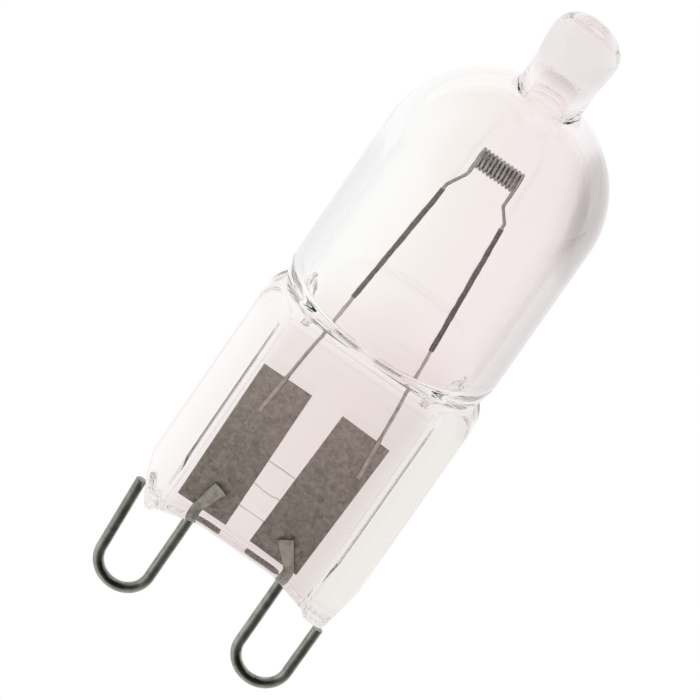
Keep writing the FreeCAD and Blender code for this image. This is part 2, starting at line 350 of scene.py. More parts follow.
def map_range(
    tree: bpy.types.NodeTree,
    value: bpy.types.NodeSocket,
    source: tuple,
    target: tuple = (0.0, 1.0),
) -> bpy.types.NodeSocket:
    """Add a node that turns one span of values into another, held at both ends.

    Args:
        tree: Tree that receives it.
        value: Socket that feeds it.
        source: Ends of the span that comes in.
        target: What they turn into.

    Returns:
        Its result.
    """
    ends = dict(zip(("From Min", "From Max", "To Min", "To Max"), (*source, *target)))
    return add_node(tree, "ShaderNodeMapRange", ends, {"Value": value}).outputs["Result"]


def noise_texture(
    tree: bpy.types.NodeTree,
    place: bpy.types.NodeSocket,
    span: float,
    detail: float,
    twist: float = 0.0,
) -> bpy.types.NodeSocket:
    """Add a cloudy texture.

    Args:
        tree: Tree that receives it.
        place: Socket that gives the place.
        span: Size of its clouds in millimetres.
        detail: How many times finer clouds are laid over them.
        twist: How far they are bent out of shape.

    Returns:
        Its value.
    """
    settings = {"Scale": 1 / (span * MM), "Detail": detail, "Distortion": twist}
    return add_node(tree, "ShaderNodeTexNoise", settings, {"Vector": place}).outputs["Fac"]


def mix_colours(
    tree: bpy.types.NodeTree,
    share: bpy.types.NodeSocket,
    first: bpy.types.NodeSocket | str,
    second: bpy.types.NodeSocket | str,
) -> bpy.types.NodeSocket:
    """Add a node that blends two colours.

    Args:
        tree: Tree that receives it.
        share: Share of the second colour.
        first: Socket or hex code of the first colour.
        second: Socket or hex code of the second colour.

    Returns:
        The blend.
    """
    settings, links = {"data_type": "RGBA"}, {0: share}
    for place, colour in ((6, first), (7, second)):
        if isinstance(colour, str):
            settings[place] = linear(colour)
        else:
            links[place] = colour
    return add_node(tree, "ShaderNodeMix", settings, links).outputs[2]


def add_bump(
    tree: bpy.types.NodeTree,
    surface: bpy.types.Node,
    height: bpy.types.NodeSocket,
    depth: float,
) -> None:
    """Make a surface look uneven.

    Args:
        tree: Tree that receives the node.
        surface: Shader of the surface.
        height: Socket that gives the height.
        depth: Height in millimetres where it gives 1.
    """
    settings = {"Strength": 1.0, "Distance": depth * MM}
    bump = add_node(tree, "ShaderNodeBump", settings, {"Height": height})
    tree.links.new(bump.outputs["Normal"], surface.inputs["Normal"])


def blank_material(name: str) -> tuple:
    """Start a material.

    Args:
        name: Name of the real material.

    Returns:
        The material, its tree, its surface shader and its output.
    """
    material = bpy.data.materials.new(name)
    material.use_nodes = True
    nodes = material.node_tree.nodes
    return material, material.node_tree, nodes["Principled BSDF"], nodes["Material Output"]


@dataclass(frozen=True)
class Glass:
    """Blown quartz envelope: outside of the bulb, tip and pinch, and the hollow in it.

    Its outside is a skin of rings. Above the barrel they follow a turned profile. Below it
    they lie where rays from the middle plane meet the pressed form, which is given as a
    signed distance, so that every fillet is smooth. The hollow is a second skin with a
    round pocket at each end of the slit that the press leaves.
    """

    bulb_radius: float = 6.4
    wall: float = 1.0
    barrel_bottom: float = 22.6
    barrel_top: float = 31.85
    dome_inset: float = 0.6
    dome_drop: float = 0.8
    tip_waist: float = 1.9
    tip_radius: float = 2.05
    tip_waist_rise: float = 1.35
    tip_bulge_rise: float = 3.15
    tip_length: float = 4.69
    tip_slant: float = 5.0
    tip_slant_span: float = 2.0
    tip_end_radius: float = 1.3
    tip_root_fillet: float = 0.7
    tip_foot_rise: float = 0.1
    bore_radius: float = 1.1
    bore_solid: float = 2.65
    barrel_lap: float = 0.5
    mouth_flare: float = 0.8
    mouth_rise: float = 0.42
    mouth_fillet: float = 0.5
    pinch_half_width: float = 6.68
    pinch_half_thickness: float = 2.0
    pinch_edge: float = 0.9
    left_corner: tuple = (1.35, 2.6)
    right_corner: tuple = (0.5, 2.5)
    pinch_bottom: float = 5.7
    web_bottom: float = 6.4
    web_half_thickness: float = 1.3
    web_half_width: float = 4.93
    web_slope_width: float = 2.6
    web_slope_start: float = 0.1
    web_slope_share: float = 0.8
    web_top: float = 18.6
    cut_softness: float = 0.1
    jaw_radius: float = 2.2
    shoulder_top: float = 21.3
    shoulder_radius: float = 1.9
    neck_bottom: float = 20.3
    neck_half_width: float = 5.75
    neck_half_thickness: float = 1.9
    neck_power: float = 4.0
    neck_blend: float = 0.5
    jaw_blend: float = 0.25
    ridge_bottom: float = 8.9
    ridge_length: float = 3.2
    ridge_height: float = 0.2
    ridge_half_width: float = 0.5
    ridge_x: float = -0.38
    ridge_groove: float = 0.07
    ridge_fade: float = 0.12
    edge_radius: float = 0.7
    rib_fillet: float = 0.5
    slit_bottom: float = 20.25
    slit_half_width: float = 4.2
    slit_half_thickness: float = 0.25
    slit_power: float = 3.0
    slit_round: float = 0.25
    slit_end_radius: float = 0.36
    slit_end_x: float = 3.84
    around: int = 200
    fan_share: float = 0.5
    web_reach: float = 5.2
    fade_top: float = 13.5
    dense_top: float = 12.6
    dense_rings: int = 80
    web_rings: int = 14
    neck_rings: int = 44
    hollow_rings: int = 40
    barrel_rings: int = 6
    bottom_shares: tuple = (0.0, 0.35, 0.7, 1.0)
    edge_steps: int = 8
    swell_steps: int = 8
    arc_steps: int = 20
    small_arc_steps: int = 10
    tip_end_steps: int = 12
    pocket_segments: tuple = (24, 16)
    halvings: int = 30

    def crown(self) -> tuple[float, float]:
        """Radius of the dome's crown arc and the height of its centre."""
        radius = self.bulb_radius - self.dome_inset + math.hypot(self.dome_inset, self.dome_drop)
        return radius, self.barrel_top - self.dome_drop

    def dome_arcs(self, depth: float, reach: float) -> list:
        """Half section of the dome, or of a skin that lies a depth below it.

        Args:
            depth: Depth of the skin below the outside.
            reach: Radius at which the section ends near the axis.

        Returns:
            (radius, height) points from the barrel's top inwards, without the last one.
        """
        crown_radius, crown_z = self.crown()
        join = math.atan2(self.dome_drop, self.dome_inset)
        end = math.acos(reach / (crown_radius - depth))
        edge_radius = self.bulb_radius - self.dome_inset - depth
        points = arc((self.dome_inset, self.barrel_top), edge_radius, 0, join, self.arc_steps)
        return points + arc((0, crown_z), crown_radius - depth, join, end, self.arc_steps)

    def outer_profile(self) -> list:
        """Half section of the outside above the barrel.

        Returns:
            (radius, height) points from the barrel's top to the end of the tip.
        """
        crown_radius, crown_z = self.crown()
        top = crown_z + crown_radius
        reach = self.tip_waist + self.tip_root_fillet
        rise = math.sqrt((crown_radius + self.tip_root_fillet) ** 2 - reach**2)
        foot = math.atan2(rise, reach)
        points = self.dome_arcs(0, crown_radius * math.cos(foot))
        root = (reach, crown_z + rise)
        points += arc(root, self.tip_root_fillet, foot + math.pi, math.pi, self.small_arc_steps)
        waist = (self.tip_waist, top + self.tip_waist_rise)
        bulge = (self.tip_radius, top + self.tip_bulge_rise)
        end = top + self.tip_length
        points += line((self.tip_waist, points[-1][1] + self.tip_foot_rise), waist, 4)
        for share in np.arange(self.swell_steps) / self.swell_steps:
            swell = float(ease(share)) * (bulge[0] - waist[0])
            points.append((waist[0] + swell, waist[1] + (bulge[1] - waist[1]) * share))
        rim = (self.tip_radius - self.tip_end_radius, end - self.tip_end_radius)
        points += line(bulge, (self.tip_radius, rim[1]), 2)
        points += arc(rim, self.tip_end_radius, 0, math.pi / 2, self.tip_end_steps)
        points += line((rim[0], end), (0, end), 3) + [(0, end)]
        return points

    def hollow_profile(self) -> list:
        """Half section of the hollow above the barrel.

        Returns:
            (radius, height) points of the dome's inside and the tip's bore.
        """
        crown_radius, crown_z = self.crown()
        bore = self.bore_radius
        end = crown_z + crown_radius + self.tip_length - self.bore_solid - bore
        ceiling = self.dome_arcs(self.wall, bore + self.mouth_flare)
        mouth = (bore, ceiling[-1][1] + self.mouth_rise)
        points = [(self.bulb_radius - self.wall, self.barrel_top - self.barrel_lap)]
        points += ceiling[:-1]
        steps = self.small_arc_steps
        points += rounded([ceiling[-1], mouth, (bore, end)], [self.mouth_fillet], steps)
        return points + arc((0, end), bore, 0, math.pi / 2, steps)[1:] + [(0, end + bore)]

    def underside(self, x: np.ndarray) -> np.ndarray:
        """Height of the pinch's bottom: high at the web, low at the ribs, cut at the corners.

        Args:
            x: Place across the pinch.

        Returns:
            The height there.
        """
        slope = (np.abs(x) - (self.web_half_width - self.web_slope_width)) / self.web_slope_width
        share = ease(self.web_slope_start + self.web_slope_share * slope)
        base = self.web_bottom + (self.pinch_bottom - self.web_bottom) * share
        width = np.where(x < 0, self.left_corner[0], self.right_corner[0])
        height = np.where(x < 0, self.left_corner[1], self.right_corner[1])
        beyond = (np.abs(x) - (self.pinch_half_width - width)) / width
        cut = (beyond + np.sqrt(beyond * beyond + self.cut_softness**2)) / 2
        return base + height * cut

    def ridge(self, x: np.ndarray, z: np.ndarray) -> np.ndarray:
        """How far the retaining ridge stands out of the web.

        Args:
            x: Place across the pinch.
            z: Height.

        Returns:
            The rise there.
        """
        half = self.ridge_length / 2
        off = np.abs(z - self.ridge_bottom - half)
        rise = self.ridge_height * np.clip(1 - off / half, 0, 1)
        groove = np.minimum(off, np.abs(off - half))
        rise = rise - self.ridge_groove * np.clip(1 - groove / self.ridge_fade, 0, 1)
        return rise * ease((self.ridge_half_width - np.abs(x - self.ridge_x)) / self.ridge_fade)

    def pinch_distance(self, x: np.ndarray, y: np.ndarray, z: np.ndarray) -> np.ndarray:
        """Signed distance to the pressed end before the jaws and the neck.

        Args:
            x: Place across the pinch.
            y: Place through it.
            z: Height.

        Returns:
            The distance, negative inside.
        """
        radius = self.pinch_edge
        lift = np.clip(z - (self.shoulder_top - self.shoulder_radius), 0, self.shoulder_radius)
        inset = self.shoulder_radius - np.sqrt(self.shoulder_radius**2 - lift**2)
        across = np.abs(x) - (self.pinch_half_width - inset) + radius
        through = np.abs(y) - self.pinch_half_thickness + radius
        outside = np.hypot(np.maximum(across, 0), np.maximum(through, 0))
        block = outside + np.minimum(np.maximum(across, through), 0) - radius
        return np.maximum(block, z - self.shoulder_top)

    def neck_distance(self, x: np.ndarray, y: np.ndarray, z: np.ndarray) -> np.ndarray:
        """Rough signed distance to the neck between the flat end and the round barrel.

        Args:
            x: Place across the pinch.
            y: Place through it.
            z: Height.

        Returns:
            The distance, negative inside.
        """
        share = ease((self.barrel_bottom - z) / (self.barrel_bottom - self.neck_bottom))
        half_x = self.bulb_radius + (self.neck_half_width - self.bulb_radius) * share
        half_y = self.bulb_radius + (self.neck_half_thickness - self.bulb_radius) * share
        power = ROUND + (self.neck_power - ROUND) * share
        size = (np.abs(x / half_x) ** power + np.abs(y / half_y) ** power) ** (1 / power)
        return (size - 1) * half_y

    def jaw_distance(self, x: np.ndarray, y: np.ndarray, z: np.ndarray) -> np.ndarray:
        """Signed distance to the jaws that press the web.

        Args:
            x: Place across the pinch.
            y: Place through it.
            z: Height.

        Returns:
            The distance, negative inside.
        """
        radius = self.jaw_radius
        face = self.web_half_thickness + self.ridge(x, z)
        depth = face + radius - np.abs(y)
        height = z - self.web_top
        corner = np.hypot(np.maximum(depth, 0), np.maximum(height, 0))
        jaw = corner + np.minimum(np.maximum(depth, height), 0) - radius
        return soft_max(jaw, np.abs(x) - self.web_half_width, self.rib_fillet)

    def outer_distance(self, x: np.ndarray, y: np.ndarray, z: np.ndarray) -> np.ndarray:
        """Signed distance to the outside below the barrel's top, negative in the glass."""
        body = soft_min(self.pinch_distance(x, y, z), self.neck_distance(x, y, z), self.neck_blend)
        return soft_max(body, -self.jaw_distance(x, y, z), self.jaw_blend)

    def rays(self, angle: np.ndarray, flat: np.ndarray) -> tuple:
        """Lines that run from the middle plane out through the glass.

        Args:
            angle: Angle round the axis.
            flat: 1 in the pressed end, 0 in the round barrel.

        Returns:
            X of each line's start, and X and Y of its direction.
        """
        quarter = math.pi / 2
        folded = np.abs((angle + quarter) % math.pi - quarter)
        share = folded / quarter
        fan = np.clip(share / self.fan_share, 0, 1)
        along = np.clip((share - self.fan_share) / (1 - self.fan_share), 0, 1)
        start = self.web_reach * (1 - along) * flat
        heading = folded * (1 - flat) + fan * quarter * flat
        side = np.where(np.cos(angle) < 0, -1.0, 1.0)
        front = np.where(np.sin(angle) < 0, -1.0, 1.0)
        return start * side, np.cos(heading) * side, np.sin(heading) * front

    def reach(
        self, start: np.ndarray, dx: np.ndarray, dy: np.ndarray, height: Callable
    ) -> np.ndarray:
        """Distance along each ray to the outside, found by halving.

        Args:
            start: X of each ray's start.
            dx: X of its direction.
            dy: Y of its direction.
            height: Function that gives the ring's height at an X.

        Returns:
            The distances.
        """
        near, far = np.zeros_like(dx), np.full_like(dx, 2 * self.bulb_radius)
        for _ in range(self.halvings):
            middle = (near + far) / 2
            x, y = start + dx * middle, dy * middle
            within = self.outer_distance(x, y, height(x)) < 0
            near, far = np.where(within, middle, near), np.where(within, far, middle)
        return (near + far) / 2

    def outer_rings(self) -> list:
        """Rings of the outside below the barrel's top.

        Returns:
            Height of each ring, its share of the full reach, how far its edge is drawn in
            and how far it is lifted above the bottom.
        """
        bottom, edge = self.pinch_bottom, self.edge_radius
        rings = [(bottom, share, edge, 0.0) for share in self.bottom_shares]
        for step in range(1, self.edge_steps + 1):
            turn = math.pi / 2 * step / self.edge_steps
            rings.append((bottom, 1.0, edge * (1 - math.sin(turn)), edge * (1 - math.cos(turn))))
        heights = [
            *np.linspace(bottom + edge, self.dense_top, self.dense_rings)[1:],
            *np.linspace(self.dense_top, self.web_top, self.web_rings)[1:],
            *np.linspace(self.web_top, self.barrel_bottom, self.neck_rings)[1:],
            *np.linspace(self.barrel_bottom, self.barrel_top, self.barrel_rings)[1:-1],
        ]
        return rings + [(z, 1.0, 0.0, 0.0) for z in heights]

    def outside(self, bm: bmesh.types.BMesh) -> None:
        """Add the outside of the bulb, tip and pinch.

        Args:
            bm: Mesh that receives it.
        """
        rings = np.array(self.outer_rings())
        profile = np.array(self.outer_profile())
        edge, slope = self.edge_radius, math.tan(math.radians(self.tip_slant))

        def place(ring: np.ndarray, angle: np.ndarray) -> tuple:
            """Place the outside's skin.

            Args:
                ring: Number of the ring, from the bottom.
                angle: Angle round the axis.

            Returns:
                X, Y and Z.
            """
            low = ring < len(rings)
            level, share, inset, lift = rings[np.minimum(ring, len(rings) - 1)].T
            flat = ease((self.barrel_bottom - level) / (self.barrel_bottom - self.neck_bottom))
            start, dx, dy = self.rays(angle, flat)
            fade = ease((self.fade_top - level) / (self.fade_top - self.pinch_bottom))
            at_bottom = level <= self.pinch_bottom

            def height(x: np.ndarray) -> np.ndarray:
                """Height of the ring, which follows the bottom's curve and fades out above it."""
                base = np.where(at_bottom, level + edge, level)
                return base + (self.underside(x) - self.pinch_bottom) * fade

            reach = np.maximum(self.reach(start, dx, dy, height) - inset, 0) * share
            x, half = start + dx * reach, self.pinch_half_width
            x = np.where(flat > 0.5, np.clip(x, -half, half), x)
            z = np.where(at_bottom, self.underside(x) + lift, height(x))
            radius, top = profile[np.clip(ring - len(rings), 0, len(profile) - 1)].T
            up_x, up_y = radius * np.cos(angle), radius * np.sin(angle)
            slant = ease(1 - (top.max() - top) / self.tip_slant_span) * slope
            return (
                np.where(low, x, up_x),
                np.where(low, dy * reach, up_y),
                np.where(low, z, top - up_x * slant),
            )

        add_skin(bm, self.around, len(rings) + len(profile), place)

    def hollow(self, bm: bmesh.types.BMesh) -> None:
        """Add the skin of the hollow, which still has its faces turned outwards.

        Args:
            bm: Mesh that receives it.
        """
        turns = np.linspace(0, math.pi / 2, self.edge_steps + 1)
        floor = self.slit_bottom + self.slit_round * (1 - np.cos(turns))
        heights = np.array(
            [
                *floor,
                *np.linspace(floor[-1], self.barrel_bottom, self.hollow_rings)[1:],
                *np.linspace(self.barrel_bottom, self.barrel_top, self.barrel_rings)[1:-1],
            ]
        )
        profile = np.array(self.hollow_profile())
        radius = self.bulb_radius - self.wall

        def place(ring: np.ndarray, angle: np.ndarray) -> tuple:
            """Place the hollow's skin.

            Args:
                ring: Number of the ring, from the slit.
                angle: Angle round the axis.

            Returns:
                X, Y and Z.
            """
            low = ring < len(heights)
            z = heights[np.minimum(ring, len(heights) - 1)]
            share = ease((self.barrel_bottom - z) / (self.barrel_bottom - self.slit_bottom))
            half_x = radius + (self.slit_half_width - radius) * share
            half_y = radius + (self.slit_half_thickness - radius) * share
            depth = np.clip((z - self.slit_bottom) / self.slit_round, 0, 1)
            half_y = half_y * np.sqrt(1 - (1 - depth) ** 2)
            power = ROUND + (self.slit_power - ROUND) * share
            x, y = superellipse(angle, half_x, half_y, power)
            r, top = profile[np.clip(ring - len(heights), 0, len(profile) - 1)].T
            return (
                np.where(low, x, r * np.cos(angle)),
                np.where(low, y, r * np.sin(angle)),
                np.where(low, z, top),
            )

        add_skin(bm, self.around, len(heights) + len(profile), place)

    def hollow_mesh(self) -> bpy.types.Mesh:
        """Join the hollow to the round pockets that end its slit.

        Returns:
            Their mesh, with its faces turned outwards.
        """
        bm = bmesh.new()
        self.hollow(bm)
        bmesh.ops.remove_doubles(bm, verts=bm.verts, dist=WELD)
        bmesh.ops.recalc_face_normals(bm, faces=bm.faces)
        hollow = new_piece("hollow", bm)
        bm = bmesh.new()
        for side in Side:
            centre = Vector((side.value * self.slit_end_x, 0, self.slit_bottom)) * MM
            bmesh.ops.create_uvsphere(
                bm,
                u_segments=self.pocket_segments[0],
                v_segments=self.pocket_segments[1],
                radius=self.slit_end_radius * MM,
                matrix=Matrix.Translation(centre),
            )
        pockets = new_piece("pockets", bm)
        union = hollow.modifiers.new("union", "BOOLEAN")
        union.operation = "UNION"
        union.object = pockets
        shown = hollow.evaluated_get(bpy.context.evaluated_depsgraph_get())
        mesh = bpy.data.meshes.new_from_object(shown)
        bpy.data.objects.remove(hollow)
        bpy.data.objects.remove(pockets)
        return mesh

    def build(self) -> bpy.types.Object:
        """Make the glass as one closed solid with its hollow.

        Returns:
            The piece.
        """
        inner = bmesh.new()
        inner.from_mesh(self.hollow_mesh())
        bmesh.ops.reverse_faces(inner, faces=inner.faces)
        skin = bpy.data.meshes.new("hollow_skin")
        inner.to_mesh(skin)
        inner.free()
        outer = bmesh.new()
        self.outside(outer)
        bmesh.ops.remove_doubles(outer, verts=outer.verts, dist=WELD)
        bmesh.ops.recalc_face_normals(outer, faces=outer.faces)
        outer.from_mesh(skin)
        bpy.data.meshes.remove(skin)
        return new_piece("quartz_envelope", outer)


@dataclass(frozen=True)
class LeadLine:
    """Straight line of a lead from its foil up to the coil, leaning in towards the axis."""

    foil_x: float = 2.985
    foil_top: float = 16.2
    sleeve_x: float = 1.88
    sleeve_top: float = 30.1
    y: float = 0.12

    def at(self, side: Side, z: float) -> np.ndarray:
        """Point of the line at a height."""
        share = (z - self.foil_top) / (self.sleeve_top - self.foil_top)
        x = self.foil_x + (self.sleeve_x - self.foil_x) * share
        return np.array([side.value * x, self.y, z])


@dataclass(frozen=True)
class WireLoop:
    """Outer lead: a free leg, a round bend and an inner leg that ends in a pressed blade."""

    spacing: float = 9.0
    radius: float = 0.31
    bend_radius: float = 1.515
    left_splay: float = 3.2
    right_splay: float = 0.5
    left_free_top: float = 6.32
    right_free_top: float = 5.0
    foil_bottom: float = 7.1
    blade_run: float = 0.25
    blade_reach: float = 1.75
    blade_half_width: float = 0.475
    blade_half_thickness: float = 0.18
    blade_power: float = 4.5
    press_run: float = 0.6
    left_lean: float = 17.0
    right_lean: float = 38.0
    knee_radius: float = 0.35
    knee_steps: int = 8
    bend_steps: int = 60
    free_steps: int = 24
    leg_steps: int = 30
    blade_steps: int = 14
    around: int = 32

    def route(self, side: Side) -> np.ndarray:
        """Centre line from the free end round the bend to the blade's tip.

        Args:
            side: Half of the lamp that the loop stands in.

        Returns:
            The line's points.
        """
        left = side is Side.LEFT
        splay = math.radians(self.left_splay if left else self.right_splay)
        lean = math.radians(self.left_lean if left else self.right_lean)
        free_top = self.left_free_top if left else self.right_free_top
        centre = (self.spacing / 2, self.radius + self.bend_radius)
        bend = arc(centre, self.bend_radius, -splay, -math.pi, self.bend_steps)
        rise = (free_top - bend[0][1]) / math.cos(splay)
        free_end = (bend[0][0] + rise * math.sin(splay), free_top)
        foot = (centre[0] - self.bend_radius, self.foil_bottom - self.blade_run)
        tip = (
            foot[0] - self.blade_reach * math.sin(lean),
            self.foil_bottom + self.blade_reach * math.cos(lean),
        )
        low = (foot[0], centre[1])
        knee = (foot[0], self.foil_bottom)
        points = line(free_end, bend[0], self.free_steps) + bend + line(low, foot, self.leg_steps)
        kneed = rounded([foot, knee, tip], [self.knee_radius], self.knee_steps)[:-1]
        points += kneed[:-1] + line(kneed[-1], tip, self.blade_steps) + [tip]
        x, z = np.array(points).T
        return np.stack([side.value * x, np.zeros(len(x)), z], axis=1)

    def build(self, side: Side) -> bpy.types.Object:
        """Make one loop.

        Args:
            side: Half of the lamp that it stands in.

        Returns:
            The piece.
        """
        route = self.route(side)
        pressed = ease((route[:, 2] - self.foil_bottom + self.blade_run) / self.press_run)
        pressed *= np.abs(route[:, 0]) < self.spacing / 2
        spread = ease((route[:, 2] - self.foil_bottom) / self.blade_reach)
        half_width = self.radius + (self.blade_half_width - self.radius) * spread * pressed
        half_depth = self.radius + (self.blade_half_thickness - self.radius) * pressed
        power = ROUND + (self.blade_power - ROUND) * pressed
        bm = bmesh.new()
        add_wire(bm, route, half_width, half_depth, power, self.around)
        return new_piece(f"outer_lead_{side.name.lower()}", bm)


@dataclass(frozen=True)
class Foil:
    """Feather-edged molybdenum strip, crinkled by the pressing."""

    width: float = 3.1
    height: float = 9.1
    thickness: float = 0.03
    bottom: float = 7.1
    front_y: float = 0.18
    left_x: float = -2.805
    right_x: float = 2.035
    left_lean: float = -0.8
    right_lean: float = 1.8
    crease: float = 0.035
    crease_span: float = 0.9
    crease_length: float = 0.495
    crease_seed: float = 7.3
    fine_share: float = 0.5
    fine_ratio: float = 2.3
    feather_power: int = 6
    columns: int = 50
    rows: int = 146

    def build(self, side: Side) -> bpy.types.Object:
        """Make one foil.

        Args:
            side: Half of the lamp that it lies in.

        Returns:
            The piece.
        """
        left = side is Side.LEFT
        seed = self.crease_seed * side.value
        bm = bmesh.new()
        bmesh.ops.create_grid(bm, x_segments=self.columns, y_segments=self.rows, size=0.5)
        for vertex in bm.verts:
            across, along = vertex.co.x * self.width, vertex.co.y * self.height
            place = Vector((across / self.crease_span, along / self.crease_length, seed))
            lift = noise.noise(place) + self.fine_share * noise.noise(place * self.fine_ratio)
            feather = 1 - (2 * abs(vertex.co.x)) ** self.feather_power
            vertex.co = Vector((across, self.crease * lift * feather, along)) * MM
        bmesh.ops.recalc_face_normals(bm, faces=bm.faces)
        bmesh.ops.solidify(bm, geom=bm.faces, thickness=self.thickness * MM)
        lean, x = (self.left_lean, self.left_x) if left else (self.right_lean, self.right_x)
        turn = Matrix.Rotation(math.radians(lean), 4, "Y")
        centre = Vector((x, self.front_y, self.bottom + self.height / 2)) * MM
        bmesh.ops.transform(bm, matrix=Matrix.Translation(centre) @ turn, verts=bm.verts)
        bmesh.ops.recalc_face_normals(bm, faces=bm.faces)
        return new_piece(f"seal_foil_{side.name.lower()}", bm)


@dataclass(frozen=True)
class InnerLead:
    """Thin wire from the foil into the bulb, and the winding that ties the coil's tail to it."""

    path: LeadLine = LeadLine()
    radius: float = 0.1
    tail_bottom: float = 13.8
    tail_half_width: float = 0.13
    tail_half_thickness: float = 0.06
    top: float = 24.4
    sleeve_bottom: float = 22.2
    sleeve_radius: float = 0.155
    winding_radius: float = 0.03
    winding_pitch: float = 0.064
    press_run: float = 0.4
    steps: int = 90
    around: int = 16
    turn_steps: int = 12
    winding_around: int = 8

    def build_wire(self, side: Side) -> bpy.types.Object:
        """Make the lead itself, pressed flat where it lies on its foil.

        Args:
            side: Half of the lamp that it stands in.

        Returns:
            The piece.
        """
        heights = np.linspace(self.tail_bottom, self.top, self.steps)
        route = np.array([self.path.at(side, z) for z in heights])
        flat = 1 - ease((heights - self.path.foil_top) / self.press_run)
        half_width = self.radius + (self.tail_half_width - self.radius) * flat
        half_depth = self.radius + (self.tail_half_thickness - self.radius) * flat
        bm = bmesh.new()
        add_wire(bm, route, half_width, half_depth, ROUND + flat, self.around)
        return new_piece(f"inner_wire_{side.name.lower()}", bm)

    def build_sleeve(self, side: Side) -> bpy.types.Object:
        """Make the fine winding that joins the lead and the filament's tail.

        Args:
            side: Half of the lamp that it stands in.

        Returns:
            The piece.
        """
        low = self.path.at(side, self.sleeve_bottom)
        high = self.path.at(side, self.path.sleeve_top)
        length = float(np.linalg.norm(high - low))
        along = Vector(high - low).normalized()
        across = along.cross(Vector((0, 1, 0))).normalized()
        through = along.cross(across)
        reach = self.sleeve_radius - self.winding_radius
        turns = (length - 2 * self.winding_radius) / self.winding_pitch
        angles = np.linspace(0, turns * 2 * math.pi, int(turns * self.turn_steps))
        rise = self.winding_radius + angles * self.winding_pitch / (2 * math.pi)
        route = low + np.outer(rise, along) + reach * (
            np.outer(np.cos(angles), across) + np.outer(np.sin(angles), through)
        )
        size = np.full(len(route), self.winding_radius)
        bm = bmesh.new()
        add_wire(bm, route, size, size, np.full(len(route), ROUND), self.winding_around)
        return new_piece(f"overwinding_{side.name.lower()}", bm)


@dataclass(frozen=True)
class Filament:
    """Coil across the lamp with a kinked tail at each end, all one wire."""

    path: LeadLine = LeadLine()
    radius: float = 0.1
    coil_radius: float = 0.52
    length: float = 2.5
    turns: float = 10.5
    height: float = 32.75
    tail_rise: float = 1.35
    tail_exit: float = 0.3
    tail_grip: float = 2.2
    bend_radius: float = 0.3
    bend_steps: int = 8
    longest_run: float = 0.12
    turn_steps: int = 36
    around: int = 16

    def tail(self, side: Side, end: np.ndarray) -> np.ndarray:
        """Route of a tail from inside its sleeve, over the neck and elbow, up to the coil.

        Args:
            side: Half of the lamp that it stands in.
            end: The coil's end.

        Returns:
            The route's points.
        """
        root = Vector(self.path.at(side, self.path.sleeve_top - self.tail_grip))
        neck = Vector(self.path.at(side, self.path.sleeve_top + self.tail_exit))
        elbow = Vector(end) - Vector((0, 0, self.tail_rise))
        corners = [root, neck, elbow, Vector(end)]
        bent = rounded(corners, [self.bend_radius] * 2, self.bend_steps)
        return dense(np.array([tuple(point) for point in bent]), self.longest_run)

    def build(self) -> bpy.types.Object:
        """Make the whole filament.

        Returns:
            The piece.
        """
        angles = np.linspace(0, self.turns * 2 * math.pi, int(self.turns * self.turn_steps))
        x = -self.length / 2 + self.length * angles / angles[-1]
        y = self.path.y + self.coil_radius * np.cos(angles)
        helix = np.stack([x, y, self.height + self.coil_radius * np.sin(angles)], axis=1)
        left = self.tail(Side.LEFT, helix[0])
        right = self.tail(Side.RIGHT, helix[-1])[::-1]
        route = np.concatenate([left[:-1], helix, right[1:]])
        size = np.full(len(route), self.radius)
        bm = bmesh.new()
        add_wire(bm, route, size, size, np.full(len(route), ROUND), self.around)
        return new_piece("tungsten_coil", bm)


